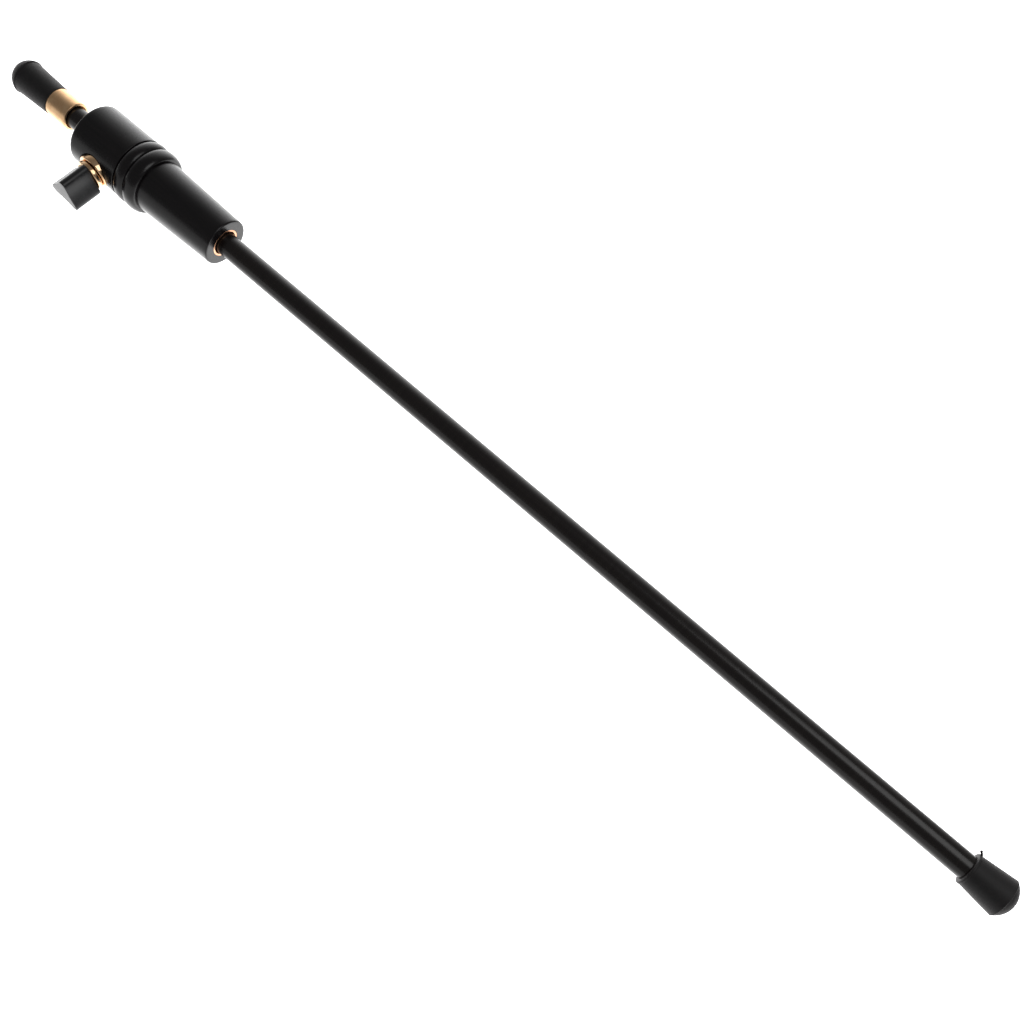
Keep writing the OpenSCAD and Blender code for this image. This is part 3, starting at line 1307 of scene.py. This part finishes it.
@dataclass
class InnerStop(SubAssembly):
    """The flared rubber stop on the rod's inner end, with its moulding nib."""

    length: float = 19.8 * MM
    mouth_radius: float = 6.55 * MM
    dome_radius: float = 8.05 * MM
    lip_height: float = 0.12 * MM
    lip_width: float = 0.9 * MM
    lip_edge: float = 0.8 * MM
    lip_fade: float = 1.3
    crease_width: float = 0.1 * MM
    crease_height: float = 0.9 * MM
    dome_height: float = 4.3 * MM
    dome_set_in: float = 0.15 * MM
    dome_set_up: float = 0.1 * MM
    bore_play: float = 0.05 * MM
    nib_angle: float = -math.radians(41)
    nib_radius: float = 0.55 * MM
    nib_height: float = 1.5 * MM
    nib_lean: float = 1.5 * MM
    nib_ball: float = 0.75 * MM
    nib_root: float = 0.4 * MM
    nib_setback: float = 0.8 * MM
    nib_curl: float = 1.6
    nib_thinning: float = 0.35
    nib_end: float = 0.2 * MM

    def nib(self, start: float) -> bmesh.types.BMesh:
        """Makes the curled nib of rubber that the mould left at the mouth.

        Args:
            start: Place of the stop's mouth.

        Returns:
            The nib as a closed shape.
        """
        root = self.mouth_radius - self.nib_root
        path = []
        radii = []
        steps = 12
        ball_place = 0.9
        ball_spread = 0.1
        for step in range(steps + 1):
            share = step / steps
            height = root + (self.nib_height + self.nib_root) * share
            lean = self.nib_lean * share**self.nib_curl
            path.append(self.rod.at(height, start + self.nib_setback - lean, self.nib_angle))
            ball = math.exp(-(((share - ball_place) / ball_spread) ** 2))
            stalk = self.nib_radius * (1 - self.nib_thinning * share)
            radii.append(stalk + (self.nib_ball - self.nib_radius) * ball)
        radii[-1] = self.nib_end
        return swept_shape(path, radii, 14)

    def build(self) -> None:
        """Moulds the stop: lip, flared sleeve, sharp crease and shallow dome."""
        stop = self.span("inner_stop")
        rod = self.span("rod_tube")
        bore = rod.radius + self.bore_play
        mouth = stop.end - self.length
        lip = self.mouth_radius + self.lip_height
        rim = stop.end - self.dome_height
        outside = rounded(
            [
                (bore, mouth, 0),
                (lip, mouth, self.lip_edge),
                (lip, mouth + self.lip_width, FINE_EDGE),
                (self.mouth_radius, mouth + self.lip_width * self.lip_fade, CRISP_EDGE),
                (self.dome_radius - self.crease_width, rim - self.crease_height, SOFT_EDGE),
                (self.dome_radius, rim, 0),
            ]
        )
        crown_radius = self.dome_radius - self.dome_set_in
        crown = dome(crown_radius, rim + self.dome_set_up, self.dome_height - self.dome_set_up)
        inside = [(0, rod.end + self.bore_play), (bore, rod.end + self.bore_play)]
        outline = inside + evenly(outside + crown, FINE_STEP)
        body = turned_shape(self.rod, outline, 160, closed=False)
        shape = merged([body, self.nib(mouth)])
        role = Role("inner_stop", "inner_stop", "black_rubber")
        self.fit("rubber_inner_stop", shape, role, Rubber().material(self.rod))


# ---------------------------------------------------------------- studio


@dataclass
class Studio:
    """The floor, the light and the camera."""

    rod: Axis
    screw: Axis
    camera_distance: float = 459 * MM
    camera_foot: float = 305.4 * MM
    camera_swing: float = math.radians(11.6)
    camera_tilt: float = math.radians(1.03)
    camera_roll: float = math.radians(40.3)
    screw_to_camera: float = math.radians(21.5)
    focal_share: float = 1185 / 1024
    sensor: float = 36.0
    floor_size: float = 12.0
    floor_drop: float = 300 * MM
    room_glow: float = 0.18
    backdrop_glow: float = 2.5
    backdrop_way: Factors = (-0.6, 0.8, 0.0)
    backdrop_falloff: float = 4.0
    box_over: float = 400 * MM
    box_way: Factors = (0.34, -0.1, 1.0)
    box_distance: float = 1.2
    box_size: float = 0.8
    box_power: float = 4.0

    def place_camera(self) -> None:
        """Stands the camera so that the rod runs corner to corner from upper left to lower right."""
        screw_drop = math.asin(-self.screw.direction.z)
        rise = math.pi / 2 - screw_drop - self.screw_to_camera
        ahead = Vector((0, math.cos(rise), -math.sin(rise)))
        to_cap = -self.rod.direction
        down = Vector((0, -math.sin(rise), -math.cos(rise)))
        forward = ahead * math.cos(self.camera_swing) + to_cap * math.sin(self.camera_swing)
        forward = forward * math.cos(self.camera_tilt) + down * math.sin(self.camera_tilt)
        cap_way = (to_cap - forward * to_cap.dot(forward)).normalized()
        down_way = down - forward * down.dot(forward)
        down_way = (down_way - cap_way * down_way.dot(cap_way)).normalized()
        right = -cap_way * math.cos(self.camera_roll) - down_way * math.sin(self.camera_roll)
        up = cap_way * math.sin(self.camera_roll) - down_way * math.cos(self.camera_roll)
        lens = bpy.data.cameras.new("camera")
        lens.sensor_width = self.sensor
        lens.lens = self.focal_share * self.sensor
        lens.clip_start = 0.01
        lens.clip_end = 50.0
        camera = bpy.data.objects.new("camera", lens)
        turn = Matrix((right, up, -forward)).transposed().to_4x4()
        foot = self.rod.direction * self.camera_foot
        camera.matrix_world = Matrix.Translation(foot - ahead * self.camera_distance) @ turn
        bpy.context.scene.collection.objects.link(camera)
        bpy.context.scene.camera = camera

    def lay_floor(self) -> None:
        """Lays the floor well below the part, so that no shadow shows round it."""
        mesh = bpy.data.meshes.new("floor")
        half = self.floor_size / 2
        corners = [(-half, -half, 0), (half, -half, 0), (half, half, 0), (-half, half, 0)]
        mesh.from_pydata(corners, [], [(0, 1, 2, 3)])
        floor = bpy.data.objects.new("floor", mesh)
        floor.data.materials.append(PaleFloor().material())
        floor.matrix_world = Matrix.Translation((0, 0, -self.floor_drop))
        bpy.context.scene.collection.objects.link(floor)

    def hang_soft_box(self) -> None:
        """Hangs the soft box high above the rod near its inner end, facing it."""
        data = bpy.data.lights.new("overhead", "AREA")
        data.shape = "SQUARE"
        data.size = self.box_size
        data.energy = self.box_power
        light = bpy.data.objects.new("overhead", data)
        towards = Vector(self.box_way)
        place = self.rod.direction * self.box_over + towards.normalized() * self.box_distance
        turn = towards.to_track_quat("Z", "Y").to_matrix().to_4x4()
        light.matrix_world = Matrix.Translation(place) @ turn
        bpy.context.scene.collection.objects.link(light)

    def light(self) -> None:
        """Lights the part as before a lit backdrop in a dim room, with a soft box above."""
        world = bpy.data.worlds.new("backdrop_and_room")
        world.use_nodes = True
        tree = world.node_tree
        way = tree.nodes.new("ShaderNodeTexCoord")
        share = tree.nodes.new("ShaderNodeVectorMath")
        share.operation = "DOT_PRODUCT"
        share.inputs[1].default_value = self.backdrop_way
        behind = tree.nodes.new("ShaderNodeMath")
        behind.operation = "MAXIMUM"
        behind.inputs[1].default_value = 0.0
        falloff = tree.nodes.new("ShaderNodeMath")
        falloff.operation = "POWER"
        falloff.inputs[1].default_value = self.backdrop_falloff
        strength = tree.nodes.new("ShaderNodeMath")
        strength.operation = "MULTIPLY_ADD"
        strength.inputs[1].default_value = self.backdrop_glow
        strength.inputs[2].default_value = self.room_glow
        backdrop = tree.nodes["Background"]
        backdrop.inputs["Color"].default_value = (1.0, 1.0, 1.0, 1.0)
        tree.links.new(way.outputs["Generated"], share.inputs[0])
        tree.links.new(share.outputs["Value"], behind.inputs[0])
        tree.links.new(behind.outputs[0], falloff.inputs[0])
        tree.links.new(falloff.outputs[0], strength.inputs[0])
        tree.links.new(strength.outputs[0], backdrop.inputs["Strength"])
        bpy.context.scene.world = world
        self.hang_soft_box()
        bpy.context.scene.view_settings.view_transform = "Standard"


# ---------------------------------------------------------------- making


def main(frame: dict) -> None:
    """Builds, dresses and lights the whole part.

    Args:
        frame: The loaded frame.
    """
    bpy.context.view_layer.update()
    rod = rod_axis()
    screw = screw_axis(frame["joints"])
    studio = Studio(rod, screw)
    studio.place_camera()
    assemblies = [
        Plug(frame, rod, screw=screw),
        Thumbscrew(frame, rod, screw=screw),
        SlidingRod(frame, rod),
        FloorCap(frame, rod),
        InnerStop(frame, rod),
    ]
    for assembly in assemblies:
        assembly.build()
        for name in assembly.made:
            LOG.info("%s: %s", type(assembly).__name__, name)
    studio.lay_floor()
    studio.light()


if __name__ == "__main__":
    logging.basicConfig(level=logging.INFO, format="%(name)s %(message)s")
    main(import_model())
